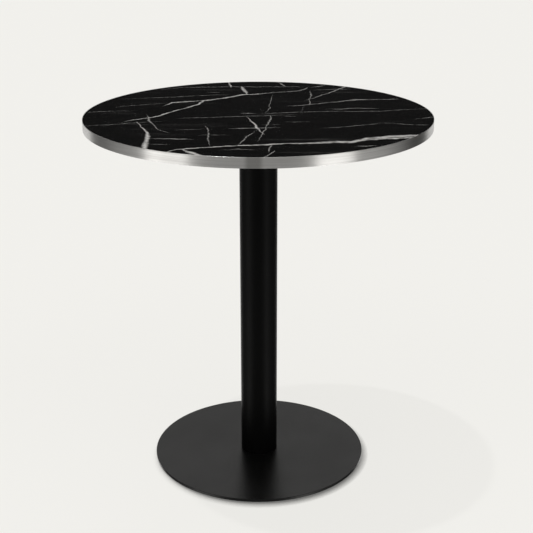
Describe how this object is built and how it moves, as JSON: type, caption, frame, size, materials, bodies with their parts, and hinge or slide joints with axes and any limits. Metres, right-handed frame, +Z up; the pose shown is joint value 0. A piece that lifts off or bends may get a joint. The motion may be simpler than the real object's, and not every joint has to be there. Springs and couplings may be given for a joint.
{
  "type": "round pedestal table",
  "caption": "Round dining-height table: a marble-look disc top with a metal edge band, on a slim round column and a flat disc foot with levelling glides.",
  "frame": {"origin": "on the floor, under the column's axis, at the level of the glides' undersides when they are screwed home", "axes": "+Z up along the column, -Y towards the front where the edge band's joint is, +X to the right of someone facing the front"},
  "size_m": [0.7, 0.7, 0.76],
  "materials": {
    "marble_laminate": "satin high-pressure laminate printed as black marble with white veins",
    "core_board": "raw fibreboard, sealed inside the top",
    "backing_laminate": "matt black backing laminate",
    "edge_band": "stainless strip brushed along its length",
    "threaded_insert": "zinc plated",
    "washer": "zinc plated",
    "top_screw": "zinc plated",
    "spider_hub": "fine-textured black powder coat",
    "spider_arm": "fine-textured black powder coat",
    "column_tube": "fine-textured black powder coat, satin",
    "column_plug": "plain machined steel, hidden in the column",
    "foot_plate": "fine-textured black powder coat, satin",
    "foot_screw": "black oxide",
    "glide_stud": "zinc plated thread",
    "glide_pad": "moulded black nylon"
  },
  "bodies": {
    "table": {"marble_laminate": "marble_laminate", "core_board": "core_board", "backing_laminate": "backing_laminate", "edge_band": "edge_band", "threaded_insert_1": "threaded_insert", "threaded_insert_2": "threaded_insert", "threaded_insert_3": "threaded_insert", "threaded_insert_4": "threaded_insert", "threaded_insert_5": "threaded_insert", "threaded_insert_6": "threaded_insert", "threaded_insert_7": "threaded_insert", "threaded_insert_8": "threaded_insert", "washer_1": "washer", "washer_2": "washer", "washer_3": "washer", "washer_4": "washer", "washer_5": "washer", "washer_6": "washer", "washer_7": "washer", "washer_8": "washer", "top_screw_1": "top_screw", "top_screw_2": "top_screw", "top_screw_3": "top_screw", "top_screw_4": "top_screw", "top_screw_5": "top_screw", "top_screw_6": "top_screw", "top_screw_7": "top_screw", "top_screw_8": "top_screw", "spider_hub": "spider_hub", "spider_arm_1": "spider_arm", "spider_arm_2": "spider_arm", "spider_arm_3": "spider_arm", "spider_arm_4": "spider_arm", "column_tube": "column_tube", "column_plug": "column_plug", "foot_plate": "foot_plate", "foot_screw_1": "foot_screw", "foot_screw_2": "foot_screw", "foot_screw_3": "foot_screw", "foot_screw_4": "foot_screw"},
    "glide_1_thread": {"glide_stud_1": "glide_stud"},
    "glide_1_foot": {"glide_pad_1": "glide_pad"},
    "glide_2_thread": {"glide_stud_2": "glide_stud"},
    "glide_2_foot": {"glide_pad_2": "glide_pad"},
    "glide_3_thread": {"glide_stud_3": "glide_stud"},
    "glide_3_foot": {"glide_pad_3": "glide_pad"},
    "glide_4_thread": {"glide_stud_4": "glide_stud"},
    "glide_4_foot": {"glide_pad_4": "glide_pad"}
  },
  "joints": [
    {"name": "glide_1_travel", "type": "slide", "parent": "table", "child": "glide_1_thread", "axis": [0, 0, -1], "range_m": [0, 0.0025]},
    {"name": "glide_1_turn", "type": "hinge", "parent": "glide_1_thread", "child": "glide_1_foot", "pos_m": [0.13435, 0.13435, 0], "axis": [0, 0, -1], "range_deg": [0, 720]},
    {"name": "glide_2_travel", "type": "slide", "parent": "table", "child": "glide_2_thread", "axis": [0, 0, -1], "range_m": [0, 0.0025]},
    {"name": "glide_2_turn", "type": "hinge", "parent": "glide_2_thread", "child": "glide_2_foot", "pos_m": [-0.13435, 0.13435, 0], "axis": [0, 0, -1], "range_deg": [0, 720]},
    {"name": "glide_3_travel", "type": "slide", "parent": "table", "child": "glide_3_thread", "axis": [0, 0, -1], "range_m": [0, 0.0025]},
    {"name": "glide_3_turn", "type": "hinge", "parent": "glide_3_thread", "child": "glide_3_foot", "pos_m": [-0.13435, -0.13435, 0], "axis": [0, 0, -1], "range_deg": [0, 720]},
    {"name": "glide_4_travel", "type": "slide", "parent": "table", "child": "glide_4_thread", "axis": [0, 0, -1], "range_m": [0, 0.0025]},
    {"name": "glide_4_turn", "type": "hinge", "parent": "glide_4_thread", "child": "glide_4_foot", "pos_m": [0.13435, -0.13435, 0], "axis": [0, 0, -1], "range_deg": [0, 720]}
  ],
  "couplings": [
    {"joint": "glide_1_travel", "follows": "glide_1_turn", "m_per_rad": 0.00019894},
    {"joint": "glide_2_travel", "follows": "glide_2_turn", "m_per_rad": 0.00019894},
    {"joint": "glide_3_travel", "follows": "glide_3_turn", "m_per_rad": 0.00019894},
    {"joint": "glide_4_travel", "follows": "glide_4_turn", "m_per_rad": 0.00019894}
  ]
}
